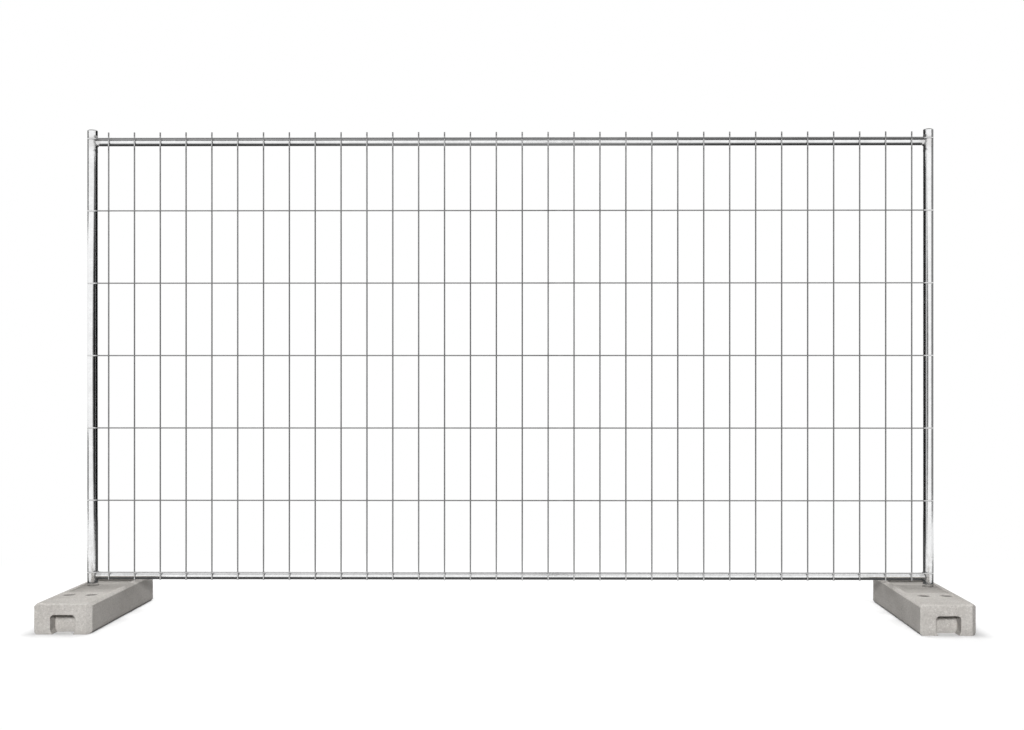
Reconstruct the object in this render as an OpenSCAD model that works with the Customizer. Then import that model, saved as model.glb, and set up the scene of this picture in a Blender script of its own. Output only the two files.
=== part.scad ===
// Temporary fence panel: a galvanised tube frame with a welded wire mesh,
// standing in two cast concrete block feet.
// Millimetres, +Z up, +X along the panel, mesh side facing -Y.
// Origin on the ground, at the centre of the footprint of the two feet.

/* [Frame] */
// Distance between the axes of the two uprights
upright_pitch = 3500; // [2800:10:4200]
// Length of an upright tube
upright_len = 2000; // [1600:10:2400]
// Outside diameter of an upright
upright_d = 42; // [38:0.5:51]
// Wall thickness of an upright
upright_wall = 1.5; // [1:0.1:3]
// Outside diameter of a rail
rail_d = 32; // [26:0.5:38]
// Wall thickness of a rail
rail_wall = 1.5; // [1:0.1:3]
// Drop from the upper end of an upright to the axis of the top rail
top_rail_drop = 46; // [38:1:90]
// Gap between the top of a foot and the underside of the bottom rail
rail_clear = 16; // [10:1:60]
// Leg of the fillet weld round a rail end
weld_leg = 4; // [3:0.5:6]

/* [Caps] */
// Height of a cap's head above the tube end
cap_head = 5; // [4.5:0.5:9]
// Radius of the head's rounded shoulder
cap_shoulder = 4; // [2:0.5:4]
// Length of the plug inside the tube
cap_plug = 20; // [12:1:30]
// Wall thickness of the plug
cap_wall = 2; // [1.5:0.5:3]
// Radial clearance of the plug in the tube
cap_clear = 0.1; // [0.05:0.05:0.3]

/* [Mesh] */
// Number of vertical wires
vertical_count = 32; // [24:1:36]
// Diameter of a vertical wire
vertical_d = 5.8; // [3:0.1:6]
// Number of horizontal wires
horizontal_count = 7; // [5:1:9]
// Diameter of a horizontal wire
horizontal_d = 5.2; // [3:0.1:6]
// Distance from an upright's axis to the nearest vertical wire
edge_gap = 74; // [60:1:110]
// Height of a vertical wire's end above the top of the top rail
wire_top = 22; // [5:1:30]
// Length of a horizontal wire outside the axis of an upright
wire_tail = 13; // [8:1:18]
// Height of the highest horizontal wire above the axis of the top rail
top_wire_rise = 12; // [9:0.5:14]
// Height of the lowest horizontal wire above the axis of the bottom rail
bottom_wire_rise = 15.5; // [8:0.5:18]
// Depth that each spot weld presses one round piece into the next
weld_bite = 0.15; // [0.05:0.05:0.3]

/* [Feet] */
// Length of a foot, across the panel
foot_len = 700; // [580:5:840]
// Width of a foot, along the panel
foot_w = 216; // [184:1:260]
// Height of a foot
foot_h = 118; // [98:1:142]
// Bevel along the upper edges of the long sides
side_bevel = 10; // [4:1:14]
// Bevel along the upper edges of the ends
end_bevel = 5; // [3:1:14]
// Bevel along the lower edges of the long sides
base_bevel = 8; // [3:1:12]
// Cut across two opposite upright corners
corner_cut = 18; // [8:1:30]
// Distance from the middle of the foot forward to the rim of the hollow in its top
hollow_front = 100; // [80:1:110]
// Distance from the middle of the foot back to that rim
hollow_back = 205; // [160:1:230]
// Width of the raised border beside the hollow
border_w = 22; // [16:1:30]
// Depth of the hollow
hollow_depth = 8; // [4:0.5:14]
// Run of the hollow's sloping walls
hollow_slope = 2; // [1:0.5:8]

/* [Sockets] */
// Radial clearance of an upright in its socket
socket_clear = 3; // [1:0.25:5]
// Radial flare of a socket's mouth
mouth_flare = 3.5; // [2:0.5:6]
// Thickness of concrete under a socket
socket_floor = 13; // [10:1:25]
// Distance from the foot's centreline out to the socket that holds the upright
socket_offset = 62; // [50:1:68]
// Distance from the middle of the foot back to the panel
panel_back = 105; // [80:1:112]
// Distance from the middle of the foot forward to the spare sockets
spare_front = 158; // [150:1:190]
// Distance from the foot's centreline out to the outer spare socket
spare_outer = 53; // [45:1:62]
// Distance from the foot's centreline in to the inner spare socket
spare_inner = 36; // [34:1:60]

/* [Hand grips] */
// Width of a hand grip
grip_w = 96; // [80:1:110]
// Height of a hand grip
grip_h = 74; // [60:1:80]
// Depth of a hand grip into the end of the foot
grip_depth = 52; // [35:1:60]
// Radius of a hand grip's upper corners
grip_r = 16; // [8:1:24]
// Width of the toe at each lower edge of a hand grip
toe_w = 8; // [3:0.5:12]
// Height of that toe
toe_h = 15; // [8:1:22]

/* [Hidden] */
$fn = 64;
// Length that a cut runs past the face it opens
overrun = 1;
zinc = [0.80, 0.82, 0.84];
wire_zinc = [0.66, 0.68, 0.70];
bead_grey = [0.62, 0.63, 0.64];
concrete = [0.77, 0.75, 0.71];

upright_r = upright_d / 2;
rail_r = rail_d / 2;
vertical_r = vertical_d / 2;
horizontal_r = horizontal_d / 2;
half_pitch = upright_pitch / 2;

// An upright stands on the floor of its socket
upright_z = socket_floor;
upright_top = upright_z + upright_len;
top_rail_z = upright_top - top_rail_drop;
bottom_rail_z = foot_h + rail_clear + rail_r;

// Front to back: horizontal wires lie on the uprights, vertical wires behind them, rails behind those
horizontal_y = panel_back - upright_r - horizontal_r + weld_bite;
vertical_y = horizontal_y + horizontal_r + vertical_r - weld_bite;
rail_y = vertical_y + vertical_r + rail_r - weld_bite;

vertical_low = bottom_rail_z - rail_r;
vertical_len = top_rail_z + rail_r + wire_top - vertical_low;
vertical_pitch = (upright_pitch - 2 * edge_gap) / (vertical_count - 1);
lowest_wire_z = bottom_rail_z + bottom_wire_rise;
horizontal_pitch = (top_rail_z + top_wire_rise - lowest_wire_z) / (horizontal_count - 1);
horizontal_len = upright_pitch + 2 * wire_tail;

socket_r = upright_r + socket_clear;
hollow_z = foot_h - hollow_depth;
hollow_w = foot_w - 2 * border_w;
hollow_len = hollow_front + hollow_back;
hollow_y = (hollow_back - hollow_front) / 2;
foot_x = half_pitch - socket_offset;

sides = ["left", "right"];
levels = ["bottom", "top"];
rail_heights = [bottom_rail_z, top_rail_z];

function sign_of(side) = side == "left" ? -1 : 1;
function two_digits(n) = n > 9 ? str(n) : str("0", n);
function vertical_name(n) = str("vertical_wire_", two_digits(n));
function horizontal_name(n) = str("horizontal_wire_", n);
function rail_name(level) = str(level, "_rail");
function weld_name(level, side) = str(level, "_", side, "_weld");
function side_name(side, piece) = str(side, "_", piece);

// Round bar along X, centred on the middle of the panel
module bar_x(radius, length) {
  rotate([0, 90, 0])
    cylinder(r = radius, h = length, center = true);
}

// Solid of an upright's outside, grown by a margin
module upright_body(side, margin) {
  translate([sign_of(side) * half_pitch, panel_back, upright_z])
    cylinder(r = upright_r + margin, h = upright_len);
}

module upright(side) {
  color(zinc)
    difference() {
      upright_body(side, 0);
      translate([sign_of(side) * half_pitch, panel_back, upright_z - overrun])
        cylinder(r = upright_r - upright_wall, h = upright_len + 2 * overrun);
    }
}

// Half section of a cap: a domed head over a hollow plug
module cap_section() {
  plug_r = upright_r - upright_wall - cap_clear;
  square([upright_r, cap_head - cap_shoulder]);
  square([upright_r - cap_shoulder, cap_head]);
  translate([upright_r - cap_shoulder, cap_head - cap_shoulder])
    intersection() {
      circle(r = cap_shoulder);
      square([cap_shoulder, cap_shoulder]);
    }
  translate([plug_r - cap_wall, -cap_plug])
    square([cap_wall, cap_plug]);
}

module cap(side) {
  color(zinc)
    translate([sign_of(side) * half_pitch, panel_back, upright_top])
      rotate_extrude()
        cap_section();
}

// A rail is coped at both ends to the curve of the uprights
module rail(height) {
  color(zinc)
    difference() {
      translate([0, rail_y, height])
        difference() {
          bar_x(rail_r, upright_pitch);
          bar_x(rail_r - rail_wall, upright_pitch + 2 * overrun);
        }
      for (side = sides)
        upright_body(side, 0);
    }
}

// Weld bead: a collar in the corner between a rail and an upright; the right one mirrors the left
module weld(height, side) {
  bead_reach = upright_r + weld_leg;
  color(bead_grey)
    mirror([side == "right" ? 1 : 0, 0, 0])
      difference() {
        intersection() {
          translate([bead_reach / 2 - half_pitch, rail_y, height])
            bar_x(rail_r + weld_leg, bead_reach);
          upright_body("left", weld_leg);
        }
        translate([0, rail_y, height])
          bar_x(rail_r, upright_pitch);
        upright_body("left", 0);
      }
}

module horizontal_wire(n) {
  color(wire_zinc)
    translate([0, horizontal_y, lowest_wire_z + (n - 1) * horizontal_pitch])
      bar_x(horizontal_r, horizontal_len);
}

module vertical_wire(n) {
  color(wire_zinc)
    translate([edge_gap - half_pitch + (n - 1) * vertical_pitch, vertical_y, vertical_low])
      cylinder(r = vertical_r, h = vertical_len);
}

// Outline of a foot from above, with two opposite corners cut off
module foot_plan() {
  x = foot_w / 2;
  y = foot_len / 2;
  polygon([
    [-x, -y],
    [x - corner_cut, -y],
    [x, -y + corner_cut],
    [x, y],
    [-x + corner_cut, y],
    [-x, y - corner_cut]
  ]);
}

// Section across a foot, with bevelled edges
module foot_section() {
  x = foot_w / 2;
  polygon([
    [-x + base_bevel, 0],
    [x - base_bevel, 0],
    [x, base_bevel],
    [x, foot_h - side_bevel],
    [x - side_bevel, foot_h],
    [-x + side_bevel, foot_h],
    [-x, foot_h - side_bevel],
    [-x, base_bevel]
  ]);
}

// Section along a foot
module foot_profile() {
  y = foot_len / 2;
  polygon([
    [-y, 0],
    [y, 0],
    [y, foot_h - end_bevel],
    [y - end_bevel, foot_h],
    [-y + end_bevel, foot_h],
    [-y, foot_h - end_bevel]
  ]);
}

// Section of the hollow for a given width at the rim
module hollow_section(width) {
  x = width / 2;
  rise = hollow_depth + overrun;
  run = hollow_slope * rise / hollow_depth;
  polygon([
    [-x + hollow_slope, 0],
    [x - hollow_slope, 0],
    [x - hollow_slope + run, rise],
    [-x + hollow_slope - run, rise]
  ]);
}

// Prism along Y of a section drawn in X and Z
module along_y(length) {
  rotate([90, 0, 0])
    linear_extrude(length, center = true)
      children();
}

// Prism along X of a section drawn in Y and Z
module along_x(length) {
  rotate([90, 0, 90])
    linear_extrude(length, center = true)
      children();
}

module foot_block() {
  intersection() {
    linear_extrude(foot_h)
      foot_plan();
    along_y(foot_len)
      foot_section();
    along_x(foot_w)
      foot_profile();
  }
}

// Shallow hollow with four sloping walls
module hollow() {
  translate([0, hollow_y, hollow_z])
    intersection() {
      along_y(foot_len)
        hollow_section(hollow_w);
      along_x(foot_w)
        hollow_section(hollow_len);
    }
}

// Blind socket with a flared mouth at the given face height, open above it
module socket(face_z) {
  mouth_r = socket_r + mouth_flare;
  rotate_extrude()
    polygon([
      [0, socket_floor],
      [socket_r, socket_floor],
      [socket_r, face_z - mouth_flare],
      [mouth_r, face_z],
      [mouth_r, foot_h + overrun],
      [0, foot_h + overrun]
    ]);
}

// Outline of a hand grip: round upper corners, and toes that narrow its foot
module grip_outline() {
  x = grip_w / 2;
  polygon([
    [-x + toe_w, -overrun],
    [x - toe_w, -overrun],
    [x - toe_w, 0],
    [x, toe_h],
    [-x, toe_h],
    [-x + toe_w, 0]
  ]);
  translate([-x, toe_h])
    square([grip_w, grip_h - grip_r - toe_h]);
  translate([-x + grip_r, toe_h])
    square([grip_w - 2 * grip_r, grip_h - toe_h]);
  for (corner = [-1, 1])
    translate([corner * (x - grip_r), grip_h - grip_r])
      circle(r = grip_r);
}

// Hand grips in both ends of a foot
module grips() {
  for (end = [-1, 1])
    translate([0, end * (foot_len - grip_depth + overrun) / 2, 0])
      along_y(grip_depth + overrun)
        grip_outline();
}

module foot(side) {
  color(concrete)
    translate([sign_of(side) * foot_x, 0, 0])
      difference() {
        foot_block();
        hollow();
        grips();
        translate([sign_of(side) * socket_offset, panel_back, 0])
          socket(hollow_z);
        for (spare_x = [spare_outer, -spare_inner])
          translate([sign_of(side) * spare_x, -spare_front, 0])
            socket(foot_h);
      }
}

for (side = sides) {
  upright(side);
  cap(side);
  foot(side);
}
for (i = [0, 1]) {
  rail(rail_heights[i]);
  for (side = sides)
    weld(rail_heights[i], side);
}
for (n = [1:horizontal_count])
  horizontal_wire(n);
for (n = [1:vertical_count])
  vertical_wire(n);
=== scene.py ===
"""Temporary fence panel: galvanised tube frame and wire mesh in two cast concrete feet."""
import math
import random

import bmesh
import bpy
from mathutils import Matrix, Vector


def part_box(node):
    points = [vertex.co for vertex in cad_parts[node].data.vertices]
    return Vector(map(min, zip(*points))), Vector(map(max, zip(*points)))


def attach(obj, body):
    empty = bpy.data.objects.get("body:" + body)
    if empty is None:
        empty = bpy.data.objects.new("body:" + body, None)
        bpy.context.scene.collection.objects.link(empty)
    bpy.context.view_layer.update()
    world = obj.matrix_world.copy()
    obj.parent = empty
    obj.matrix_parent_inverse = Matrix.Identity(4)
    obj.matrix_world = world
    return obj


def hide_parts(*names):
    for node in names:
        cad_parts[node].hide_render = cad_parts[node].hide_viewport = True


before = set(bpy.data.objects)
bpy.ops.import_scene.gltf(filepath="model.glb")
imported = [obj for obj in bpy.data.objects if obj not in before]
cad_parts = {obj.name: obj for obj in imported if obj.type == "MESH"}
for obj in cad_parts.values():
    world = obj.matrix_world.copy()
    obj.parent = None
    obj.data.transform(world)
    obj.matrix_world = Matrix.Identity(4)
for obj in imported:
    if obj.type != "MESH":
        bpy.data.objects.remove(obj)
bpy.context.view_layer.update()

SIDES = (("left", -1), ("right", 1))

# Sizes of a foot, in metres, in the part's own frame
FOOT_W = 0.216
FOOT_LEN = 0.700
FOOT_H = 0.118
FOOT_X = 1.688
SIDE_BEVEL = 0.010
END_BEVEL = 0.005
BASE_BEVEL = 0.008
CORNER_CUT = 0.018
HOLLOW_W = 0.172
HOLLOW_FRONT = 0.100
HOLLOW_BACK = 0.205
HOLLOW_DEPTH = 0.008
HOLLOW_SLOPE = 0.002
SOCKET_R = 0.024
SOCKET_FLOOR = 0.013
SOCKET_SIDES = 64
MOUTH_FLARE = 0.0035
SPARE_Y = -0.158
SPARE_OUTER = 0.053
SPARE_INNER = 0.036
GRIP_W = 0.096
GRIP_H = 0.074
GRIP_DEPTH = 0.052
GRIP_R = 0.016
GRIP_CURVE = 6
TOE_W = 0.008
TOE_H = 0.015
OVERRUN = 0.004

# Sizes of the frame and the mesh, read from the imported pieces
upright_low, upright_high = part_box("right_upright")
rail_low, rail_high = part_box("top_rail")
bottom_low, bottom_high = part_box("bottom_rail")
UPRIGHT_X = (upright_low.x + upright_high.x) / 2
PANEL_Y = (upright_low.y + upright_high.y) / 2
UPRIGHT_R = (upright_high.x - upright_low.x) / 2
RAIL_Y = (rail_low.y + rail_high.y) / 2
RAIL_R = (rail_high.z - rail_low.z) / 2
TOP_RAIL_Z = (rail_low.z + rail_high.z) / 2
BOTTOM_RAIL_Z = (bottom_low.z + bottom_high.z) / 2
VERTICALS = sorted(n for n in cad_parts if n.startswith("vertical_wire"))
HORIZONTALS = sorted(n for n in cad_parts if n.startswith("horizontal_wire"))
first_low, first_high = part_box(VERTICALS[0])
last_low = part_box(VERTICALS[-1])[0]
low_low, low_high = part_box(HORIZONTALS[0])
top_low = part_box(HORIZONTALS[-1])[0]
WIRE_X = (first_low.x + first_high.x) / 2
WIRE_STEP = (last_low.x - first_low.x) / (len(VERTICALS) - 1)
ROW_Z = (low_low.z + low_high.z) / 2
ROW_STEP = (top_low.z - low_low.z) / (len(HORIZONTALS) - 1)
ROW_BACK = low_high.y
WIRE_BACK = first_high.y


# Helpers for modelling
SAME_PLACE = 1e-5
FACING = 0.9


def pick(obj):
    """Select this object alone and make it the active one."""
    bpy.ops.object.select_all(action="DESELECT")
    obj.select_set(True)
    bpy.context.view_layer.objects.active = obj


def settle(obj):
    """Put the object's place, turn and scale into its mesh."""
    pick(obj)
    bpy.ops.object.transform_apply(location=True, rotation=True, scale=True)


def block(name, low, high):
    """A box between two corners, ready to be shaped."""
    bpy.ops.object.select_all(action="DESELECT")
    centre = [(a + b) / 2 for a, b in zip(low, high)]
    size = [b - a for a, b in zip(low, high)]
    bpy.ops.mesh.primitive_cube_add(size=1, location=centre, scale=size)
    obj = bpy.context.active_object
    obj.name = name
    obj.data.name = name
    settle(obj)
    return obj


def start_edit(obj, kind):
    """Open the object in edit mode, set to pick edges or faces."""
    pick(obj)
    bpy.ops.object.mode_set(mode="EDIT")
    bpy.ops.mesh.select_mode(type=kind)


def end_edit():
    """Go back to object mode, which keeps the edits."""
    bpy.ops.object.mode_set(mode="OBJECT")


def select_faces(obj, test):
    """In edit mode, select the faces whose normal passes the test."""
    mesh = bmesh.from_edit_mesh(obj.data)
    bpy.ops.mesh.select_all(action="DESELECT")
    for face in mesh.faces:
        if test(face.normal):
            face.select_set(True)
    bmesh.update_edit_mesh(obj.data)


def select_edges(obj, test):
    """In edit mode, select the edges whose two ends pass the test."""
    mesh = bmesh.from_edit_mesh(obj.data)
    bpy.ops.mesh.select_all(action="DESELECT")
    for edge in mesh.edges:
        if test(edge.verts[0].co, edge.verts[1].co):
            edge.select_set(True)
    bmesh.update_edit_mesh(obj.data)


def bevel_edges(obj, test, width, segments=1):
    """Bevel the edges whose two ends pass the test."""
    start_edit(obj, "EDGE")
    select_edges(obj, test)
    bpy.ops.mesh.bevel(offset=width, offset_type="OFFSET", segments=segments, affect="EDGES")
    end_edit()


def looks_up(normal):
    """True for the normal of a face that looks up."""
    return normal.z > FACING


def looks_down(normal):
    """True for the normal of a face that looks down."""
    return normal.z < -FACING


def near(a, b):
    """True where two coordinates are the same."""
    return abs(a - b) < SAME_PLACE


def finish_modifier(obj, kind, **settings):
    """Add a modifier with these settings and apply it."""
    pick(obj)
    modifier = obj.modifiers.new(kind.lower(), kind)
    for key, value in settings.items():
        setattr(modifier, key, value)
    bpy.ops.object.modifier_apply(modifier=modifier.name)


def cut(obj, cutter):
    """Take the cutter's shape out of the object, and remove the cutter."""
    finish_modifier(obj, "BOOLEAN", operation="DIFFERENCE", object=cutter, solver="EXACT")
    bpy.data.objects.remove(cutter)


def copy_piece(obj, name, offset=(0, 0, 0)):
    """A copy with its own mesh, moved by an offset that goes into the mesh."""
    made = obj.copy()
    made.data = obj.data.copy()
    made.name = name
    made.data.name = name
    bpy.context.collection.objects.link(made)
    made.location = offset
    settle(made)
    return made


def smooth(obj):
    """Shade the whole object smooth."""
    pick(obj)
    bpy.ops.object.shade_smooth()


def dress(obj, material):
    """Give every face of the object one material."""
    obj.data.materials.clear()
    obj.data.materials.append(material)


# Feet
def hollow_cutter():
    """Box whose floor is smaller than its mouth, for the hollow in the top."""
    x = HOLLOW_W / 2 + HOLLOW_SLOPE
    front = -HOLLOW_FRONT - HOLLOW_SLOPE
    back = HOLLOW_BACK + HOLLOW_SLOPE
    floor_z = FOOT_H - HOLLOW_DEPTH
    obj = block("hollow_cutter", (-x, front, floor_z), (x, back, FOOT_H + HOLLOW_DEPTH))
    start_edit(obj, "FACE")
    select_faces(obj, looks_down)
    taper = (1 - 2 * HOLLOW_SLOPE / x, 1 - 4 * HOLLOW_SLOPE / (back - front), 1)
    bpy.ops.transform.resize(value=taper, center_override=(0, (front + back) / 2, floor_z))
    end_edit()
    return obj


def socket_cutter(x, y, face_z):
    """Round blind hole with a flared mouth at the face's height, open above it."""
    bpy.ops.object.select_all(action="DESELECT")
    rim_z = face_z - MOUTH_FLARE
    depth = rim_z - SOCKET_FLOOR
    middle = (x, y, (rim_z + SOCKET_FLOOR) / 2)
    bpy.ops.mesh.primitive_cylinder_add(
        vertices=SOCKET_SIDES, radius=SOCKET_R, depth=depth, location=middle
    )
    obj = bpy.context.active_object
    settle(obj)
    start_edit(obj, "FACE")
    select_faces(obj, looks_up)
    bpy.ops.mesh.extrude_region_move(TRANSFORM_OT_translate={"value": (0, 0, MOUTH_FLARE)})
    widen = (SOCKET_R + MOUTH_FLARE) / SOCKET_R
    bpy.ops.transform.resize(value=(widen, widen, 1), center_override=(x, y, face_z))
    bpy.ops.mesh.extrude_region_move(TRANSFORM_OT_translate={"value": (0, 0, FOOT_H + OVERRUN - face_z)})
    end_edit()
    return obj


def grip_cutter():
    """Opening for a hand, with round upper corners, that narrows at the ground between two toes."""
    x = GRIP_W / 2
    front = -FOOT_LEN / 2
    obj = block("grip_cutter", (-x, front - OVERRUN, -OVERRUN), (x, front + GRIP_DEPTH, GRIP_H))
    start_edit(obj, "FACE")
    bpy.ops.mesh.select_all(action="SELECT")
    bpy.ops.mesh.bisect(plane_co=(0, 0, TOE_H), plane_no=(0, 0, 1))
    select_faces(obj, looks_down)
    narrow = 1 - TOE_W * (TOE_H + OVERRUN) / TOE_H / x
    bpy.ops.transform.resize(value=(narrow, 1, 1), center_override=(0, front, 0))
    end_edit()

    def upper_corner(a, b):
        return near(a.z, GRIP_H) and near(b.z, GRIP_H) and near(a.x, b.x)

    bevel_edges(obj, upper_corner, GRIP_R, GRIP_CURVE)
    return obj


def cast_blank():
    """A foot without its sockets, centred on the origin."""
    x = FOOT_W / 2
    y = FOOT_LEN / 2
    obj = block("foot_blank", (-x, -y, 0), (x, y, FOOT_H))

    def cut_corner(a, b):
        return near(a.x, b.x) and near(a.y, b.y) and a.x * a.y < 0

    def upper_side(a, b):
        return near(a.z, FOOT_H) and near(b.z, FOOT_H) and near(abs(a.x), x) and near(a.x, b.x)

    def lower_side(a, b):
        return near(a.z, 0) and near(b.z, 0) and near(abs(a.x), x) and near(a.x, b.x)

    def upper_end(a, b):
        return near(a.z, FOOT_H) and near(b.z, FOOT_H) and near(abs(a.y), y) and near(a.y, b.y)

    bevel_edges(obj, cut_corner, CORNER_CUT)
    bevel_edges(obj, upper_side, SIDE_BEVEL)
    bevel_edges(obj, lower_side, BASE_BEVEL)
    bevel_edges(obj, upper_end, END_BEVEL)
    cut(obj, hollow_cutter())
    front_grip = grip_cutter()
    rear_grip = copy_piece(front_grip, "rear_grip_cutter", (0, FOOT_LEN - GRIP_DEPTH + OVERRUN, 0))
    cut(obj, front_grip)
    cut(obj, rear_grip)
    return obj


def cloud(name, size, octaves):
    """Soft noise that a Displace modifier reads."""
    texture = bpy.data.textures.new(name, "CLOUDS")
    texture.noise_scale = size
    texture.noise_depth = octaves
    return texture


CAST_DEPTH = 8
CAST_SCALE = 0.985
CAST_SOFTEN = 0.25
# Name, size, octaves and height of each unevenness of the cast faces
CAST_WAVES = (
    ("cast_waves", 0.16, 1, 0.0008),
    ("cast_lumps", 0.03, 2, 0.0005),
    ("cast_grain", 0.007, 1, 0.0004),
)
CHIP_REACH = 0.008
CHIP_DEPTH = 0.0014
CHIP_SIZE = 0.016
CHIP_OCTAVES = 2
CHIP_CONTRAST = 1.6


def uneven(obj, texture, strength, mid_level, group=""):
    """Move the surface by a noise, all over it or where a vertex group has weight."""
    finish_modifier(
        obj,
        "DISPLACE",
        texture=texture,
        texture_coords="LOCAL",
        strength=strength,
        mid_level=mid_level,
        vertex_group=group,
    )


def edge_share(place, centre_x):
    """One on the block's outer edges, falling to zero a little way from them."""
    from_side = FOOT_W / 2 - abs(place.x - centre_x)
    from_end = FOOT_LEN / 2 - abs(place.y)
    depths = sorted((from_side, from_end, FOOT_H - place.z))
    return max(0.0, 1 - max(depths[1], 0.0) / CHIP_REACH)


def cast_foot(blank, side, sign):
    """One finished casting: its sockets, slightly rounded edges, uneven faces and small chips."""
    name = side + "_foot_casting"
    centre_x = sign * FOOT_X
    obj = copy_piece(blank, name, (centre_x, 0, 0))
    cut(obj, socket_cutter(sign * UPRIGHT_X, PANEL_Y, FOOT_H - HOLLOW_DEPTH))
    for offset in (SPARE_OUTER, -SPARE_INNER):
        cut(obj, socket_cutter(centre_x + sign * offset, SPARE_Y, FOOT_H))
    finish_modifier(
        obj,
        "REMESH",
        mode="SHARP",
        octree_depth=CAST_DEPTH,
        scale=CAST_SCALE,
        use_remove_disconnected=False,
    )
    finish_modifier(obj, "SMOOTH", factor=CAST_SOFTEN, iterations=1)
    edges = obj.vertex_groups.new(name="edges")
    for vertex in obj.data.vertices:
        share = edge_share(vertex.co, centre_x)
        if share > 0:
            edges.add([vertex.index], share, "REPLACE")
    chips = cloud(side + "_chips", CHIP_SIZE, CHIP_OCTAVES)
    chips.noise_type = "HARD_NOISE"
    chips.contrast = CHIP_CONTRAST
    uneven(obj, chips, -CHIP_DEPTH, mid_level=0.0, group="edges")
    obj.vertex_groups.clear()
    for texture_name, size, octaves, strength in CAST_WAVES:
        texture = cloud(side + "_" + texture_name, size, octaves)
        uneven(obj, texture, strength, mid_level=0.5)
    # Nothing of the foot goes below the ground
    for vertex in obj.data.vertices:
        vertex.co.z = max(vertex.co.z, 0.0)
    smooth(obj)
    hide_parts(side + "_foot")
    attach(obj, side + "_foot")
    return obj


# Welds
BEAD_R = 0.0030
BEAD_RING_R = RAIL_R + 0.0004
BEAD_STEPS = 104
BEAD_SECTION = 14
BEAD_RIPPLES = 26
BEAD_RIPPLE_SHARE = 0.05
BEAD_UNEVEN = (0.93, 1.07)
BEAD_GAP = 0.0008
BEAD_FLAT = 0.9
BEAD_REACH = UPRIGHT_R * 0.97
NUGGET_SEGMENTS = 10
NUGGET_RINGS = 6
NUGGET_SINK = 0.0002


def bead_ring():
    """Plain ring round a rail end, at the origin, its axis along X."""
    bpy.ops.object.select_all(action="DESELECT")
    bpy.ops.mesh.primitive_torus_add(
        major_radius=BEAD_RING_R,
        minor_radius=BEAD_R,
        major_segments=BEAD_STEPS,
        minor_segments=BEAD_SECTION,
        rotation=(0, math.pi / 2, 0),
    )
    obj = bpy.context.active_object
    settle(obj)
    return obj


def fillet_bead(ring, level, side, sign, height, seed):
    """Rippled fillet weld that follows the curve where a rail meets an upright."""
    obj = copy_piece(ring, f"{level}_{side}_weld_bead")
    chance = random.Random(seed)
    sizes = [chance.uniform(*BEAD_UNEVEN) for _ in range(BEAD_RIPPLES)]
    for vertex in obj.data.vertices:
        turn = math.atan2(vertex.co.z, vertex.co.y) / (2 * math.pi) % 1 * BEAD_RIPPLES
        which = int(turn) % BEAD_RIPPLES
        share = turn - int(turn)
        size = sizes[which] * (1 - share) + sizes[(which + 1) % BEAD_RIPPLES] * share
        size *= 1 + BEAD_RIPPLE_SHARE * math.cos(2 * math.pi * turn)
        spoke = Vector((0, vertex.co.y, vertex.co.z)).normalized() * BEAD_RING_R
        place = spoke + (vertex.co - spoke) * size
        reach = min(abs(place.y + RAIL_Y - PANEL_Y), BEAD_REACH)
        face_x = math.sqrt(UPRIGHT_R**2 - reach**2)
        bead_x = UPRIGHT_X - face_x - BEAD_GAP - place.x * BEAD_FLAT
        vertex.co = (sign * bead_x, place.y + RAIL_Y, place.z + height)
    start_edit(obj, "FACE")
    bpy.ops.mesh.select_all(action="SELECT")
    bpy.ops.mesh.normals_make_consistent(inside=False)
    end_edit()
    smooth(obj)
    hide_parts(f"{level}_{side}_weld")
    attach(obj, "panel")
    return obj


def nugget(name, place, radii):
    """Flattened lump that a spot weld squeezes out between two round pieces."""
    bpy.ops.object.select_all(action="DESELECT")
    bpy.ops.mesh.primitive_uv_sphere_add(
        segments=NUGGET_SEGMENTS, ring_count=NUGGET_RINGS, radius=1, location=place, scale=radii
    )
    obj = bpy.context.active_object
    obj.name = name
    obj.data.name = name
    settle(obj)
    return obj


def nugget_rows(name, place, radii, along, up):
    """One nugget repeated in even steps along the panel and up it."""
    obj = nugget(name, place, radii)
    for count, offset in ((along[0], (along[1], 0.0, 0.0)), (up[0], (0.0, 0.0, up[1]))):
        finish_modifier(
            obj,
            "ARRAY",
            count=count,
            use_relative_offset=False,
            use_constant_offset=True,
            constant_offset_displace=offset,
        )
    smooth(obj)
    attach(obj, "panel")
    return obj


# Helpers for materials
def set_input(tree, node, key, value):
    """Link a socket to a node's input, or set the input to a plain value."""
    if isinstance(value, bpy.types.NodeSocket):
        tree.links.new(value, node.inputs[key])
    else:
        node.inputs[key].default_value = value


def add_node(tree, kind, inputs=None, **settings):
    """A shader node with its settings, and its inputs linked or set."""
    node = tree.nodes.new(kind)
    for key, value in settings.items():
        setattr(node, key, value)
    for key, value in (inputs or {}).items():
        set_input(tree, node, key, value)
    return node


def bare_material(name):
    """A material without nodes, and its node tree."""
    material = bpy.data.materials.new(name)
    material.use_nodes = True
    tree = material.node_tree
    tree.nodes.clear()
    return material, tree


def object_place(tree):
    """Place of the shaded point in its object's coordinates, which at rest are the part's own."""
    return add_node(tree, "ShaderNodeTexCoord").outputs["Object"]


def new_material(name):
    """A material with a principled shader, with its node tree, that shader and the shaded place."""
    material, tree = bare_material(name)
    shader = add_node(tree, "ShaderNodeBsdfPrincipled")
    add_node(tree, "ShaderNodeOutputMaterial", {"Surface": shader.outputs["BSDF"]})
    return material, tree, shader, object_place(tree)


def noise(tree, place, scale, detail=3.0, roughness=0.6):
    """Soft noise between zero and one."""
    inputs = {"Vector": place, "Scale": scale, "Detail": detail, "Roughness": roughness}
    return add_node(tree, "ShaderNodeTexNoise", inputs).outputs["Fac"]


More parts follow.
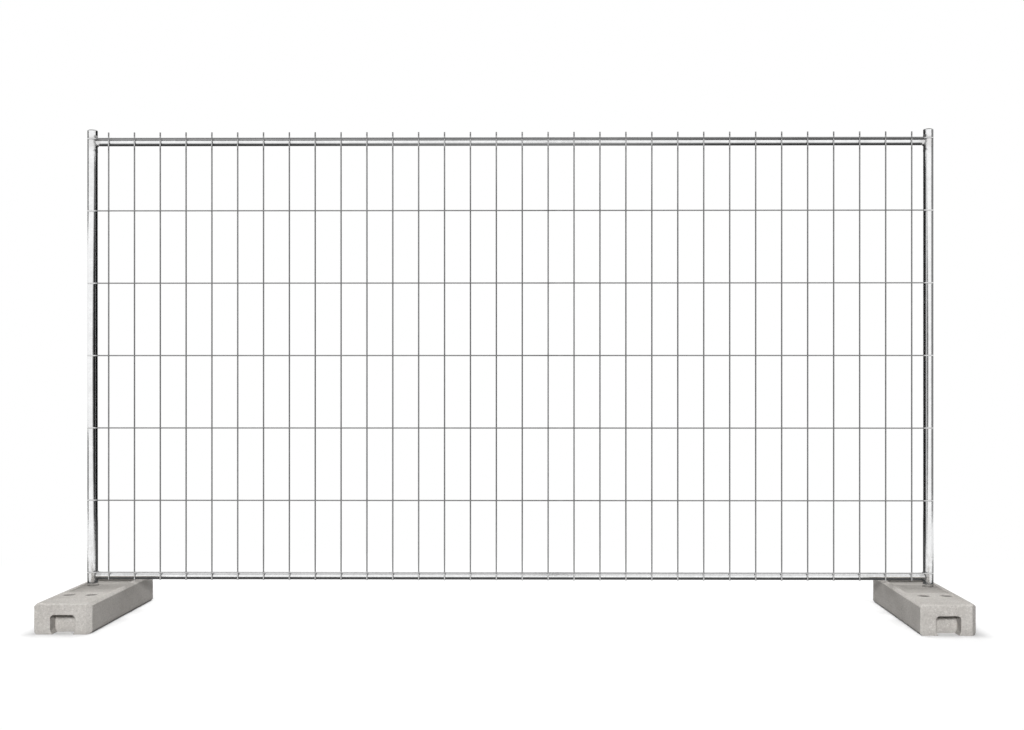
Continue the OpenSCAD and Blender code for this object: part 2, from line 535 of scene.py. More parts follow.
def cells(tree, place, scale):
    """Outputs of a cell noise: a random colour for each cell, and the distance to its middle."""
    return add_node(tree, "ShaderNodeTexVoronoi", {"Vector": place, "Scale": scale}).outputs


def stretched(tree, place, scale):
    """The place with each axis scaled, to draw a noise out along an axis."""
    return add_node(tree, "ShaderNodeMapping", {"Vector": place, "Scale": scale}).outputs["Vector"]


def spread(tree, value, low, high, to_low, to_high):
    """Map a range of values to another range, with smooth ends."""
    inputs = {"Value": value, "From Min": low, "From Max": high, "To Min": to_low, "To Max": to_high}
    node = add_node(tree, "ShaderNodeMapRange", inputs, interpolation_type="SMOOTHSTEP")
    return node.outputs["Result"]


def math_node(tree, operation, first, second=0.0):
    """Result of one operation on a value or on two."""
    return add_node(tree, "ShaderNodeMath", {0: first, 1: second}, operation=operation).outputs["Value"]


def times(tree, first, second):
    """Product of two values."""
    return math_node(tree, "MULTIPLY", first, second)


def plus(tree, first, second):
    """Sum of two values."""
    return math_node(tree, "ADD", first, second)


def minus(tree, first, second):
    """First value less the second one."""
    return math_node(tree, "SUBTRACT", first, second)


def larger(tree, first, second):
    """The larger of two values."""
    return math_node(tree, "MAXIMUM", first, second)


def size_of(tree, value):
    """The value without its sign."""
    return math_node(tree, "ABSOLUTE", value)


def tint(tree, factor, first, second, blend="MIX"):
    """Mix two colours by a factor; each may be a colour or a socket."""
    node = add_node(tree, "ShaderNodeMix", data_type="RGBA", blend_type=blend)
    for key, value in ((0, factor), (6, first), (7, second)):
        set_input(tree, node, key, value)
    return node.outputs[2]


def grey(level, warm=0.0):
    """A grey, a little redder than blue if warm."""
    return (level * (1 + warm), level, level * (1 - warm), 1.0)


def bump(tree, height, strength, distance):
    """Normal that follows fine heights which the mesh doesn't have."""
    inputs = {"Height": height, "Strength": strength, "Distance": distance}
    return add_node(tree, "ShaderNodeBump", inputs).outputs["Normal"]


def axis_value(tree, place, axis):
    """One coordinate of a place."""
    return add_node(tree, "ShaderNodeSeparateXYZ", {"Vector": place}).outputs[axis]


def distance_to_row(tree, value, start, step):
    """Distance to the nearest of a row of places that are evenly spaced."""
    phase = math_node(tree, "WRAP", minus(tree, value, start - step / 2), step)
    return size_of(tree, minus(tree, phase, step / 2))


def distance_to_uprights(tree, place):
    """Distance along a rail or a wire to the inner face of the nearer upright."""
    return minus(tree, UPRIGHT_X - UPRIGHT_R, size_of(tree, axis_value(tree, place, "X")))


# Galvanised steel
SPANGLE_SCALE = 130.0
STREAK_SCALE = 260.0
BLOTCH_SCALE = 11.0
RIPPLE_SCALE = 60.0
ZINC_BUMP = (0.012, 0.0003)
ZINC_COOL = -0.004
MARK_WARM = 0.01
MARK_ROUGHER = 0.18
SPRAY_AND_LIGHT_TONE = 0.86
FRAY_SCALE = 140.0
FRAY_WIDTH = 0.004
RUN_SCALE = 95.0
RUN_STRETCH = (1.0, 1.0, 0.3)
UPRIGHT_SPRAY = 0.55
STAIN_HIGH = 0.42
STAIN_LOW = 0.13
RAIL_MARK = 0.6
WIRE_MARK = 0.7
LOW_SPRAY_AND_LIGHT = 0.8
HIGH_SPRAY_AND_LIGHT = 0.5
ROW_SPRAY_AND_LIGHT = 0.56
TAIL_SPRAY = 0.85
BEAD_GRAIN_SCALE = 320.0
BEAD_BLOTCH_SCALE = 70.0
BEAD_BUMP = (0.3, 0.0006)
BEAD_DARK = 0.36
BEAD_LIGHT = 0.58
BEAD_SPECK = 0.26
# Distances at which a mark or a spray begins to fade and has faded away
WELD_REACH = (0.016, 0.034)
SPOT_REACH = (0.004, 0.011)
END_REACH = (0.010, 0.026)
CROSSING_REACH = (0.003, 0.009)
RAIL_REACH = (RAIL_R + 0.001, RAIL_R + 0.007)
TAIL_REACH = (-0.002, 0.006)
# Scales that draw a noise out along the height and along the panel
UP_STREAK = (1.0, 1.0, 0.02)
LONG_STREAK = (0.02, 1.0, 1.0)


def zinc(name, tone, stretch, rough, edge, mark=None, mark_tone=0.0, spray_and_light=None):
    """Galvanised steel: spangle, drawn streaks, dull blotches, matt marks and bright spray, which on
    wires in front of the rails is partly painted light.
    """
    material, tree, shader, place = new_material(name)
    flakes = axis_value(tree, cells(tree, place, SPANGLE_SCALE)["Color"], "X")
    lines = noise(tree, stretched(tree, place, stretch), STREAK_SCALE)
    blotch = noise(tree, place, BLOTCH_SCALE)
    pale = spread(tree, flakes, 0.0, 1.0, 0.95, 1.03)
    drawn = spread(tree, lines, 0.3, 0.7, 0.97, 1.02)
    dull = spread(tree, blotch, 0.3, 0.7, 0.93, 1.02)
    level = times(tree, times(tree, pale, drawn), dull)
    shade = add_node(tree, "ShaderNodeCombineColor", {"Red": level, "Green": level, "Blue": level})
    colour = tint(tree, 1.0, grey(tone, ZINC_COOL), shade.outputs["Color"], "MULTIPLY")
    flake_rough = spread(tree, flakes, 0.0, 1.0, rough - 0.02, rough + 0.02)
    roughness = plus(tree, flake_rough, spread(tree, blotch, 0.35, 0.75, -0.02, 0.03))
    if mark is not None:
        patch = mark(tree, place)
        colour = tint(tree, patch, colour, grey(mark_tone, MARK_WARM))
        roughness = plus(tree, roughness, times(tree, patch, MARK_ROUGHER))
    if spray_and_light is not None:
        # Bright spray, which in front of the rails is partly painted light
        colour = tint(tree, spray_and_light(tree, place), colour, grey(SPRAY_AND_LIGHT_TONE))
    tree.links.new(colour, shader.inputs["Base Color"])
    tree.links.new(roughness, shader.inputs["Roughness"])
    shader.inputs["Metallic"].default_value = 1.0
    shader.inputs["Specular Tint"].default_value = grey(edge)
    height = plus(tree, lines, noise(tree, place, RIPPLE_SCALE))
    tree.links.new(bump(tree, height, *ZINC_BUMP), shader.inputs["Normal"])
    return material


def frayed(tree, place, distance, reach):
    """One near a place and zero away from it, with an uneven border."""
    wobble = noise(tree, place, FRAY_SCALE, roughness=0.5)
    ragged = plus(tree, distance, spread(tree, wobble, 0.2, 0.8, -FRAY_WIDTH, FRAY_WIDTH))
    return spread(tree, ragged, *reach, 1.0, 0.0)


def distance_to_rail(tree, place, rail_z):
    """Height above or below the middle of a rail."""
    return size_of(tree, minus(tree, axis_value(tree, place, "Z"), rail_z))


def upright_marks(tree, place):
    """Zinc spray over the welds of the rails, and stains low down above the feet."""
    low = distance_to_rail(tree, place, BOTTOM_RAIL_Z)
    high = distance_to_rail(tree, place, TOP_RAIL_Z)
    near_weld = frayed(tree, place, math_node(tree, "MINIMUM", low, high), WELD_REACH)
    runs = noise(tree, stretched(tree, place, RUN_STRETCH), RUN_SCALE)
    streaks = spread(tree, runs, 0.36, 0.64, 0.1, 0.9)
    low_down = spread(tree, axis_value(tree, place, "Z"), STAIN_HIGH, STAIN_LOW, 0.0, 0.8)
    return larger(tree, times(tree, near_weld, UPRIGHT_SPRAY), times(tree, streaks, low_down))


def rail_marks(tree, place):
    """Dull spots where the wires are welded on, and zinc spray at both ends."""
    to_wire = distance_to_row(tree, axis_value(tree, place, "X"), WIRE_X, WIRE_STEP)
    spot = frayed(tree, place, to_wire, SPOT_REACH)
    end = frayed(tree, place, distance_to_uprights(tree, place), END_REACH)
    return times(tree, larger(tree, spot, end), RAIL_MARK)


def crossing_marks(tree, place, axis, start, step):
    """Dull spots on a wire where it crosses a row of others."""
    row = distance_to_row(tree, axis_value(tree, place, axis), start, step)
    return times(tree, frayed(tree, place, row, CROSSING_REACH), WIRE_MARK)


def vertical_marks(tree, place):
    """Dull spots on the vertical wires."""
    return crossing_marks(tree, place, "Z", ROW_Z, ROW_STEP)


def horizontal_marks(tree, place):
    """Dull spots on the horizontal wires."""
    return crossing_marks(tree, place, "X", WIRE_X, WIRE_STEP)


def rail_spray_and_light(tree, place, rail_z, amount):
    """Bright zinc spray and painted light on the wires in front of a rail, where the rail's shade and
    dark reflection would darken them.
    """
    to_rail = distance_to_rail(tree, place, rail_z)
    return times(tree, frayed(tree, place, to_rail, RAIL_REACH), amount)


def both_rails_spray_and_light(tree, place):
    """Bright zinc spray and painted light on the vertical wires in front of both rails, thinner at the
    top.
    """
    low = rail_spray_and_light(tree, place, BOTTOM_RAIL_Z, LOW_SPRAY_AND_LIGHT)
    return larger(tree, low, rail_spray_and_light(tree, place, TOP_RAIL_Z, HIGH_SPRAY_AND_LIGHT))


def tail_spray_and_rail_light(tree, place):
    """Bright zinc spray on the horizontal wires at the uprights, and spray with painted light at the
    bottom rail.
    """
    tail = frayed(tree, place, distance_to_uprights(tree, place), TAIL_REACH)
    low = rail_spray_and_light(tree, place, BOTTOM_RAIL_Z, ROW_SPRAY_AND_LIGHT)
    return larger(tree, times(tree, tail, TAIL_SPRAY), low)


def bead_zinc():
    """Weld metal under zinc spray: matt, grey and grainy."""
    material, tree, shader, place = new_material("weld_bead_zinc")
    grain = noise(tree, place, BEAD_GRAIN_SCALE)
    blotch = noise(tree, place, BEAD_BLOTCH_SCALE)
    patches = spread(tree, blotch, 0.3, 0.7, 0.0, 1.0)
    colour = tint(tree, patches, grey(BEAD_DARK, MARK_WARM), grey(BEAD_LIGHT))
    colour = tint(tree, spread(tree, grain, 0.55, 0.75, 0.0, 0.5), colour, grey(BEAD_SPECK))
    tree.links.new(colour, shader.inputs["Base Color"])
    tree.links.new(spread(tree, grain, 0.3, 0.7, 0.38, 0.58), shader.inputs["Roughness"])
    shader.inputs["Metallic"].default_value = 1.0
    tree.links.new(bump(tree, grain, *BEAD_BUMP), shader.inputs["Normal"])
    return material


# Concrete
CAST_DARK = (0.50, 0.475, 0.445, 1)
CAST_LIGHT = (0.58, 0.555, 0.525, 1)
MOTTLE_TONE = (0.44, 0.42, 0.395, 1)
DULL_TONE = (0.36, 0.345, 0.325, 1)
SAND_TONE = (0.72, 0.70, 0.67, 1)
GRIT_TONE = (0.28, 0.27, 0.26, 1)
PORE_TONE = (0.20, 0.19, 0.18, 1)
EDGE_WEAR_AND_HIGHLIGHT_TONE = (0.66, 0.635, 0.60, 1)
CREASE_SHADE_TONE = (0.34, 0.325, 0.305, 1)
HOLLOW_DARK_TONE = (0.30, 0.285, 0.265, 1)
# Tone of the painted shade inside the sockets
SOCKET_SHADE_TONE = (0.07, 0.066, 0.06, 1)
CLOUD_SCALE = 8.0
MOTTLE_SCALE = 46.0
SPECK_SCALE = 380.0
SAND_SCALE = 150.0
GRIT_SCALE = 640.0
PORE_SCALE = 62.0
PORE_STRENGTH = 0.7
PORE_SINK = 2.0
SOCKET_SHADE_STRENGTH = 0.82
CONCRETE_SHEEN = 0.12
CONCRETE_BUMP = (0.35, 0.0012)
MASK_EDGE = 0.001
MASK_BLUR = 0.002
HOLLOW_DARK_FADE = 0.005
SOCKET_SHADE_FADE = 0.007
BASE_DARK_TOP = 0.026
BASE_DARK_FULL = 0.002
BASE_DARK_WOBBLE = 0.012


def inside(tree, value, middle, half):
    """One where a value lies within half a width of a middle, with soft ends."""
    gap = size_of(tree, minus(tree, value, middle))
    return spread(tree, gap, half + MASK_EDGE, half + MASK_EDGE - MASK_BLUR, 0.0, 1.0)


def below(tree, z, face_z, fade):
    """Zero at the height of a face, growing to one a little way below it."""
    return spread(tree, z, face_z - MASK_EDGE, face_z - fade, 0.0, 1.0)


def hollow_darkening(tree, outward, y, z):
    """Darker grey on the floor of the hollow in a foot's top."""
    across = inside(tree, outward, 0.0, HOLLOW_W / 2)
    along = inside(tree, y, (HOLLOW_BACK - HOLLOW_FRONT) / 2, (HOLLOW_BACK + HOLLOW_FRONT) / 2)
    return times(tree, times(tree, across, along), below(tree, z, FOOT_H, HOLLOW_DARK_FADE))


def socket_shade(tree, outward, y, z):
    """Painted shade inside the three sockets of a foot, growing darker a little below each mouth."""
    total = 0.0
    places = (
        (UPRIGHT_X - FOOT_X, PANEL_Y, FOOT_H - HOLLOW_DEPTH),
        (SPARE_OUTER, SPARE_Y, FOOT_H),
        (-SPARE_INNER, SPARE_Y, FOOT_H),
    )
    for place_x, place_y, face_z in places:
        across = minus(tree, outward, place_x)
        along = minus(tree, y, place_y)
        square = plus(tree, times(tree, across, across), times(tree, along, along))
        inner = SOCKET_R + MASK_EDGE
        reach = spread(tree, math_node(tree, "SQRT", square), inner + MOUTH_FLARE, inner, 0.0, 1.0)
        total = larger(tree, total, times(tree, reach, below(tree, z, face_z, SOCKET_SHADE_FADE)))
    return total


def concrete_cast():
    """Fine cast concrete: cloudy tone, sand, grit, small pores, pale edges that are partly wear and
    partly painted highlight, painted shade in creases and sockets, a darker hollow floor and a darker
    base.
    """
    material, tree, shader, place = new_material("cast_concrete")
    clouds = noise(tree, place, CLOUD_SCALE, detail=4.0)
    mottle = noise(tree, place, MOTTLE_SCALE)
    speck = noise(tree, place, SPECK_SCALE, detail=2.0)
    sand = noise(tree, place, SAND_SCALE, roughness=0.75)
    grit = axis_value(tree, cells(tree, place, GRIT_SCALE)["Color"], "X")
    colour = tint(tree, spread(tree, clouds, 0.3, 0.7, 0.0, 1.0), CAST_DARK, CAST_LIGHT)
    colour = tint(tree, spread(tree, mottle, 0.4, 0.75, 0.0, 0.35), colour, MOTTLE_TONE)
    colour = tint(tree, spread(tree, speck, 0.5, 0.72, 0.0, 0.45), colour, DULL_TONE)
    colour = tint(tree, spread(tree, sand, 0.50, 0.68, 0.0, 0.60), colour, DULL_TONE)
    colour = tint(tree, spread(tree, sand, 0.46, 0.32, 0.0, 0.60), colour, SAND_TONE)
    colour = tint(tree, spread(tree, grit, 0.90, 0.95, 0.0, 0.32), colour, GRIT_TONE)
    colour = tint(tree, spread(tree, grit, 0.10, 0.05, 0.0, 0.32), colour, SAND_TONE)
    pore = cells(tree, place, PORE_SCALE)
    pore_on = spread(tree, axis_value(tree, pore["Color"], "Y"), 0.70, 0.72, 0.0, 1.0)
    pore_spot = times(tree, pore_on, spread(tree, pore["Distance"], 0.06, 0.13, 1.0, 0.0))
    colour = tint(tree, times(tree, pore_spot, PORE_STRENGTH), colour, PORE_TONE)
    edge = add_node(tree, "ShaderNodeNewGeometry").outputs["Pointiness"]
    # Paler convex edges, partly wear and partly painted highlight
    colour = tint(tree, spread(tree, edge, 0.51, 0.58, 0.0, 0.25), colour, EDGE_WEAR_AND_HIGHLIGHT_TONE)
    # Painted shade in creases and inner corners, where pointiness is low
    colour = tint(tree, spread(tree, edge, 0.495, 0.44, 0.0, 0.5), colour, CREASE_SHADE_TONE)
    outward = minus(tree, size_of(tree, axis_value(tree, place, "X")), FOOT_X)
    y = axis_value(tree, place, "Y")
    z = axis_value(tree, place, "Z")
    # Darker grey on the floor of the hollow
    hollow_dark_strength = spread(tree, clouds, 0.3, 0.7, 0.28, 0.44)
    colour = tint(tree, times(tree, hollow_darkening(tree, outward, y, z), hollow_dark_strength), colour, HOLLOW_DARK_TONE)
    # Painted shade: the sockets darken below their mouths
    socket_shading = times(tree, socket_shade(tree, outward, y, z), SOCKET_SHADE_STRENGTH)
    colour = tint(tree, socket_shading, colour, SOCKET_SHADE_TONE)
    # Darker towards the bottom of the foot, with an uneven upper edge
    base_dark_z = plus(tree, z, spread(tree, mottle, 0.2, 0.8, -BASE_DARK_WOBBLE, BASE_DARK_WOBBLE))
    colour = tint(tree, spread(tree, base_dark_z, BASE_DARK_TOP, BASE_DARK_FULL, 0.0, 0.35), colour, DULL_TONE)
    tree.links.new(colour, shader.inputs["Base Color"])
    tree.links.new(spread(tree, speck, 0.3, 0.7, 0.82, 0.96), shader.inputs["Roughness"])
    shader.inputs["Specular IOR Level"].default_value = CONCRETE_SHEEN
    height = minus(tree, plus(tree, speck, mottle), times(tree, pore_spot, PORE_SINK))
    tree.links.new(bump(tree, height, *CONCRETE_BUMP), shader.inputs["Normal"])
    return material


# Build the pieces
foot_blank = cast_blank()
concrete = concrete_cast()
for side, sign in SIDES:
    dress(cast_foot(foot_blank, side, sign), concrete)
bpy.data.objects.remove(foot_blank)

bead_metal = bead_zinc()
ring = bead_ring()
# Name, height and random seed of the welds of each rail
RAIL_WELDS = (("bottom", BOTTOM_RAIL_Z, 20), ("top", TOP_RAIL_Z, 30))
for level, height, seed in RAIL_WELDS:
    for side, sign in SIDES:
        dress(fillet_bead(ring, level, side, sign, height, seed + sign), bead_metal)
bpy.data.objects.remove(ring)

along_wires = (len(VERTICALS), WIRE_STEP)
up_rows = (len(HORIZONTALS), ROW_STEP)
both_rails = (2, TOP_RAIL_Z - BOTTOM_RAIL_Z)
both_uprights = (2, 2 * UPRIGHT_X)
crossing_place = (WIRE_X, ROW_BACK, ROW_Z)
rail_place = (WIRE_X, WIRE_BACK + NUGGET_SINK, BOTTOM_RAIL_Z)
upright_place = (-UPRIGHT_X, ROW_BACK + NUGGET_SINK, ROW_Z)
# Name, first place, radii, and count and step along and up, of each group of spot welds
SPOT_WELDS = (
    ("mesh_spot_welds", crossing_place, (0.0031, 0.0011, 0.0031), along_wires, up_rows),
    ("rail_spot_welds", rail_place, (0.0036, 0.0011, 0.0052), along_wires, both_rails),
    ("upright_spot_welds", upright_place, (0.0052, 0.0011, 0.0034), both_uprights, up_rows),
)
for group in SPOT_WELDS:
    dress(nugget_rows(*group), bead_metal)

upright_zinc = zinc(
    "upright_zinc",
    tone=0.95,
    stretch=UP_STREAK,
    rough=0.14,
    edge=0.8,
    mark=upright_marks,
    mark_tone=0.72,
)
rail_zinc = zinc(
    "rail_zinc",
    tone=0.95,
    stretch=LONG_STREAK,
    rough=0.15,
    edge=0.6,
    mark=rail_marks,
    mark_tone=0.62,
)
cap_zinc = zinc("cap_zinc", tone=0.93, stretch=UP_STREAK, rough=0.24, edge=0.5)
vertical_zinc = zinc(
    "vertical_wire_zinc",
    tone=0.36,
    stretch=UP_STREAK,
    rough=0.34,
    edge=0.35,
    mark=vertical_marks,
    mark_tone=0.28,
    spray_and_light=both_rails_spray_and_light,
)
horizontal_zinc = zinc(
    "horizontal_wire_zinc",
    tone=0.31,
    stretch=LONG_STREAK,
    rough=0.34,
    edge=0.35,
    mark=horizontal_marks,
    mark_tone=0.26,
    spray_and_light=tail_spray_and_rail_light,
)
FINISHES = (
    ("upright", upright_zinc),
    ("_rail", rail_zinc),
    ("_cap", cap_zinc),
    ("vertical_wire", vertical_zinc),
    ("horizontal_wire", horizontal_zinc),
)
for node_name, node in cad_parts.items():
    for word, finish in FINISHES:
        if word in node_name:
            for slot_place in node.material_slots:
                slot_place.material = finish


# Backdrop and lamps
WORLD_FILL = 0.06
FLOOR_SIZE = 60
FLOOR_PALE = 0.18
# The floor turns plain white between these distances, which are measured in an oval
FLOOR_OVAL = (0.45, 1.0, 1.0)
FLOOR_NEAR = 0.95
FLOOR_FAR = 1.9
CONTACT_REACH = 0.08
# Diffuse tone and glow of the floor, against the feet and away from them; the glow is lower against the
# feet, which paints contact shade
CONTACT_TONE = 0.84
CONTACT_SHADE_GLOW = 0.08
OPEN_TONE = 0.40
OPEN_GLOW = 0.67
# Name, place, aim, size in metres and power in watts of each lamp
LAMPS = (
    ("key_softbox", (-0.1, -7.0, 2.9), (0.0, 0.0, 0.9), (1.9, 1.2), 565),
    ("top_softbox", (0.0, 0.4, 5.5), (0.0, 0.4, 0.0), (5.0, 3.0), 120),
    ("rear_softbox", (-0.4, 6.5, 4.6), (0.0, 0.0, 0.9), (5.0, 3.0), 420),
    ("left_softbox", (-6.0, -1.0, 2.5), (-1.7, 0.0, 0.3), (2.0, 2.0), 31),
    ("right_softbox", (6.0, -1.0, 2.5), (1.7, 0.0, 0.3), (2.0, 2.0), 26),
)


def background_rays(tree):
    """Rays from the camera, and rays in reflections or through glass."""
    path = add_node(tree, "ShaderNodeLightPath").outputs
    return path["Is Camera Ray"], larger(tree, path["Is Glossy Ray"], path["Is Transmission Ray"])


def mix_shaders(tree, factor, first, second):
    """Blend of two shaders by a factor."""
    return add_node(tree, "ShaderNodeMixShader", {0: factor, 1: first, 2: second}).outputs[0]


def light(tree, strength):
    """White light of a strength."""
    return add_node(tree, "ShaderNodeEmission", {"Color": grey(1.0), "Strength": strength}).outputs[0]


def make_world():
    """White to the eye and in reflections, and a dim even fill for everything else."""
    world = bpy.data.worlds.new("studio_world")
    bpy.context.scene.world = world
    world.use_nodes = True
    world.cycles.sampling_method = "NONE"
    tree = world.node_tree
    tree.nodes.clear()
    dim = add_node(tree, "ShaderNodeBackground", {"Color": grey(1.0), "Strength": WORLD_FILL})
    white = add_node(tree, "ShaderNodeBackground", {"Color": grey(1.0), "Strength": 1.0})
    direct, mirrored = background_rays(tree)
    shown = larger(tree, direct, mirrored)
    mixed = mix_shaders(tree, shown, dim.outputs[0], white.outputs[0])
    add_node(tree, "ShaderNodeOutputWorld", {"Surface": mixed})


def length_of(tree, vector):
    """Length of a vector."""
    return add_node(tree, "ShaderNodeVectorMath", {0: vector}, operation="LENGTH").outputs["Value"]


def distance_to_feet(tree, place):
    """Distance on the floor to the nearer of the two feet."""
    beside = minus(tree, size_of(tree, axis_value(tree, place, "X")), FOOT_X)
    across = minus(tree, size_of(tree, beside), FOOT_W / 2)
    along = minus(tree, size_of(tree, axis_value(tree, place, "Y")), FOOT_LEN / 2)
    reach = {"X": larger(tree, across, 0.0), "Y": larger(tree, along, 0.0)}
    corner = add_node(tree, "ShaderNodeCombineXYZ", reach).outputs["Vector"]
    return length_of(tree, corner)


def make_floor():
    """Pale floor that takes the object's shadow, mostly close to the feet, where its glow is turned down
    as painted contact shade, and is white elsewhere.
    """
    bpy.ops.object.select_all(action="DESELECT")
    bpy.ops.mesh.primitive_plane_add(size=FLOOR_SIZE)
    floor = bpy.context.active_object
    floor.name = "studio_floor"
    material, tree = bare_material("studio_floor")
    place = object_place(tree)
    away = length_of(tree, stretched(tree, place, FLOOR_OVAL))
    far = spread(tree, away, FLOOR_NEAR, FLOOR_FAR, 0.0, 1.0)
    gap = distance_to_feet(tree, place)
    tone = spread(tree, gap, 0.0, CONTACT_REACH, CONTACT_TONE, OPEN_TONE)
    # Painted contact shade: the glow drops close to the feet
    glow = spread(tree, gap, 0.0, CONTACT_REACH, CONTACT_SHADE_GLOW, OPEN_GLOW)
    pale = add_node(tree, "ShaderNodeBsdfDiffuse", {"Color": grey(FLOOR_PALE)}).outputs[0]
    veil = add_node(tree, "ShaderNodeBsdfDiffuse", {"Color": tone}).outputs[0]
    shadowed = add_node(tree, "ShaderNodeAddShader", {0: veil, 1: light(tree, glow)}).outputs[0]
    white = light(tree, 1.0)
    direct, mirrored = background_rays(tree)
    looked_at = mix_shaders(tree, far, shadowed, white)
    others = mix_shaders(tree, mirrored, pale, white)
    mixed = mix_shaders(tree, direct, others, looked_at)
    add_node(tree, "ShaderNodeOutputMaterial", {"Surface": mixed})
    dress(floor, material)


def softbox(name, place, aim, size, power):
    """Area lamp turned to a place, which doesn't show itself to the eye or in reflections."""
    bpy.ops.object.select_all(action="DESELECT")
    bpy.ops.object.light_add(type="AREA", location=place)
    lamp = bpy.context.active_object
    lamp.name = name
    lamp.data.shape = "RECTANGLE"
    lamp.data.size, lamp.data.size_y = size
    lamp.data.energy = power
    lamp.visible_camera = False
    lamp.visible_glossy = False
    turn = (Vector(aim) - Vector(place)).to_track_quat("-Z", "Y")
    lamp.rotation_euler = turn.to_euler()


make_world()
make_floor()
for lamp_settings in LAMPS:
    softbox(*lamp_settings)

# Studio cards
CAMERA_PLACE = (0.21, -4.897, 0.984)
CAMERA_X = CAMERA_PLACE[0]
# Heights above and below the middle between which a middle card changes
CARD_MIDDLE_Z = 1.0
PALING_NEAR = 0.2
PALING_FAR = 1.2
# Reflections that are shorter than this, below or above these heights, pass the middle cards
RAIL_PASS_REACH = 1.0
RAIL_PASS_LOW = 0.3
RAIL_PASS_HIGH = 1.9
# The cards at the top rail change between these places on either side
CARD_CENTRE_X = 0.3
CARD_END_X = 1.0
MIDDLE_CARD_GAP = 0.001
MIDDLE_CARD_TOP = 2.34
# How far in front of the panel each middle card is white, at half height and at its ends
MIDDLE_CARD_REACH = {"left": (9.5, 2.4), "right": (1.6, 1.3)}
RAIL_CARD_HALF_X = UPRIGHT_X - UPRIGHT_R - 0.001
RAIL_CARD_FRONT = RAIL_Y - 0.026
RAIL_CARD_BACK = RAIL_Y + 0.08
RAIL_CARD_Z = TOP_RAIL_Z - 0.030
RAIL_CARD_LEVELS = (0.05, 0.20, 0.05)
SOFT_CARD_FRONT = RAIL_Y - 0.075
SOFT_CARD_LEVEL = 0.40
OVERHEAD_FRONT = RAIL_Y - 0.034
OVERHEAD_Z = TOP_RAIL_Z + 0.028
OVERHEAD_LEVELS = (0.34, 0.28, 0.13)
CAP_CARD_HALF_X = 0.05
CAP_CARD_FRONT = PANEL_Y - 0.085
CAP_CARD_BACK = PANEL_Y + 0.01
CAP_CARD_Z = upright_high.z + 0.035
CAP_CARD_LEVEL = 0.12


def paling(tree, reach):
    """Level that grows from black at the panel to white at a reach in front of it.

    The two reaches hold at half height and towards the top and the floor.
    """
    place = object_place(tree)
    height = size_of(tree, minus(tree, axis_value(tree, place, "Z"), CARD_MIDDLE_Z))
    limit = spread(tree, height, PALING_NEAR, PALING_FAR, *reach)
    share = math_node(tree, "DIVIDE", minus(tree, axis_value(tree, place, "Y"), PANEL_Y), limit)
    return math_node(tree, "MINIMUM", times(tree, share, share), 1.0)


def open_to_rails(tree, shade):
    """Let short reflections at the height of the rails pass the card, so that the rails stay even."""
    height = axis_value(tree, object_place(tree), "Z")
    low = math_node(tree, "LESS_THAN", height, RAIL_PASS_LOW)
    high = math_node(tree, "GREATER_THAN", height, RAIL_PASS_HIGH)
    length = add_node(tree, "ShaderNodeLightPath").outputs["Ray Length"]
    short = math_node(tree, "LESS_THAN", length, RAIL_PASS_REACH)
    clear = add_node(tree, "ShaderNodeBsdfTransparent").outputs[0]
    return mix_shaders(tree, times(tree, short, larger(tree, low, high)), shade, clear)


def along_panel(tree, left, middle, right):
    """Level that changes from the left end of the panel over its middle to its right end."""
    x = axis_value(tree, object_place(tree), "X")
    first = spread(tree, x, -CARD_END_X, -CARD_CENTRE_X, left, middle)
    return plus(tree, first, spread(tree, x, CARD_CENTRE_X, CARD_END_X, 0.0, right - middle))


def fading(tree, front, back, level):
    """Level that falls from white at a card's front edge to its own at the back edge."""
    y = axis_value(tree, object_place(tree), "Y")
    return spread(tree, y, front, back, 1.0, level)


def studio_card(name, corners, level, rails_pass=False):
    """Studio card that shows only in reflections, so that bright tubes keep dark edges.

    Its level is a number, or a function that makes the level in the card's own nodes.
    """
    bpy.ops.object.select_all(action="DESELECT")
    bpy.ops.mesh.primitive_plane_add(size=1)
    card = bpy.context.active_object
    card.name = name
    for vertex, corner in zip(card.data.vertices, corners):
        vertex.co = corner
    material, tree = bare_material(name)
    strength = level(tree) if callable(level) else level
    shade = light(tree, strength)
    if rails_pass:
        shade = open_to_rails(tree, shade)
    add_node(tree, "ShaderNodeOutputMaterial", {"Surface": shade})
    dress(card, material)
    card.visible_camera = False
    card.visible_diffuse = False
    card.visible_transmission = False
    card.visible_shadow = False


def upright_card(name, x, front, back, low, top, level, rails_pass=False):
    """Card that stands across the panel's direction."""
    corners = ((x, front, low), (x, back, low), (x, front, top), (x, back, top))
    studio_card(name, corners, level, rails_pass)


def flat_card(name, half_x, front, back, z, level, middle_x=0.0):
    """Card that lies flat at a height."""
    low_x = middle_x - half_x
    high_x = middle_x + half_x
    corners = ((low_x, front, z), (high_x, front, z), (low_x, back, z), (high_x, back, z))
    studio_card(name, corners, level)


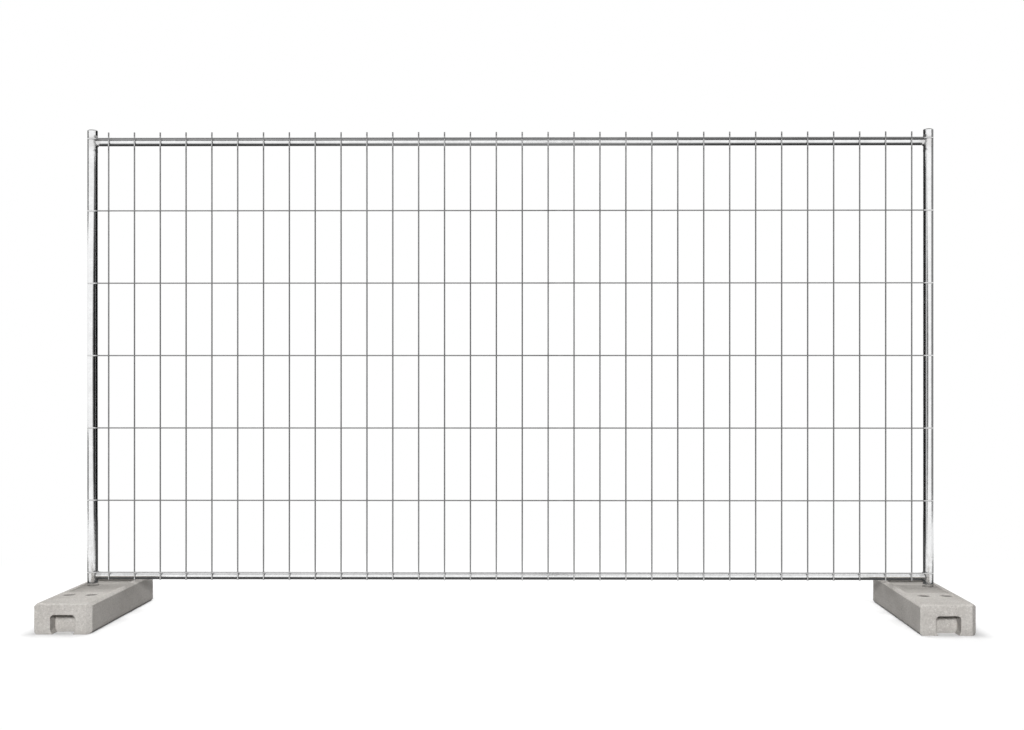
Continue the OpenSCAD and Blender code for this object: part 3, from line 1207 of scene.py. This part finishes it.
for side, sign in SIDES:
    card_reach = MIDDLE_CARD_REACH[side]
    upright_card(
        "middle_card_" + side,
        x=CAMERA_X + sign * MIDDLE_CARD_GAP,
        front=-card_reach[0],
        back=0.0,
        low=0.0,
        top=MIDDLE_CARD_TOP,
        level=lambda tree: paling(tree, card_reach),
        rails_pass=True,
    )
upright_card("middle_card_rear", x=CAMERA_X, front=0.12, back=4.0, low=0.0, top=3.6, level=0.004)
upright_card("left_low_card", x=-5.0, front=-0.6, back=4.0, low=0.0, top=0.6, level=0.10)
upright_card("left_high_card", x=-5.0, front=-0.6, back=4.0, low=2.0, top=3.2, level=0.10)
upright_card("right_card", x=5.0, front=-2.2, back=4.0, low=0.0, top=3.2, level=0.22)
flat_card(
    "overhead_card",
    half_x=RAIL_CARD_HALF_X,
    front=OVERHEAD_FRONT,
    back=RAIL_CARD_BACK,
    z=OVERHEAD_Z,
    level=lambda tree: along_panel(tree, *OVERHEAD_LEVELS),
)
flat_card(
    "rail_card",
    half_x=RAIL_CARD_HALF_X,
    front=RAIL_CARD_FRONT,
    back=RAIL_CARD_BACK,
    z=RAIL_CARD_Z,
    level=lambda tree: along_panel(tree, *RAIL_CARD_LEVELS),
)
flat_card(
    "soft_rail_card",
    half_x=RAIL_CARD_HALF_X,
    front=SOFT_CARD_FRONT,
    back=RAIL_CARD_FRONT,
    z=RAIL_CARD_Z,
    level=lambda tree: fading(tree, SOFT_CARD_FRONT, RAIL_CARD_FRONT, SOFT_CARD_LEVEL),
)
flat_card("floor_card", half_x=2.4, front=-0.15, back=2.5, z=0.004, level=0.14)
flat_card("low_card", half_x=2.4, front=0.06, back=2.5, z=0.1195, level=0.08)
for side, sign in SIDES:
    flat_card(
        side + "_cap_card",
        half_x=CAP_CARD_HALF_X,
        front=CAP_CARD_FRONT,
        back=CAP_CARD_BACK,
        z=CAP_CARD_Z,
        level=CAP_CARD_LEVEL,
        middle_x=sign * UPRIGHT_X,
    )

# Camera, at the photograph's viewing angle
CAMERA_TURN = (math.pi / 2, 0, 0.007)
SENSOR_MM = 36.0
LENS_MM = 42.0
SHIFT_X = -0.0383
SHIFT_Y = 0.0114
camera_data = bpy.data.cameras.new("photo_camera")
camera_data.sensor_width = SENSOR_MM
camera_data.lens = LENS_MM
camera_data.shift_x = SHIFT_X
camera_data.shift_y = SHIFT_Y
camera = bpy.data.objects.new("photo_camera", camera_data)
camera.location = CAMERA_PLACE
camera.rotation_euler = CAMERA_TURN
bpy.context.collection.objects.link(camera)
bpy.context.scene.camera = camera
bpy.context.scene.view_settings.view_transform = "Standard"
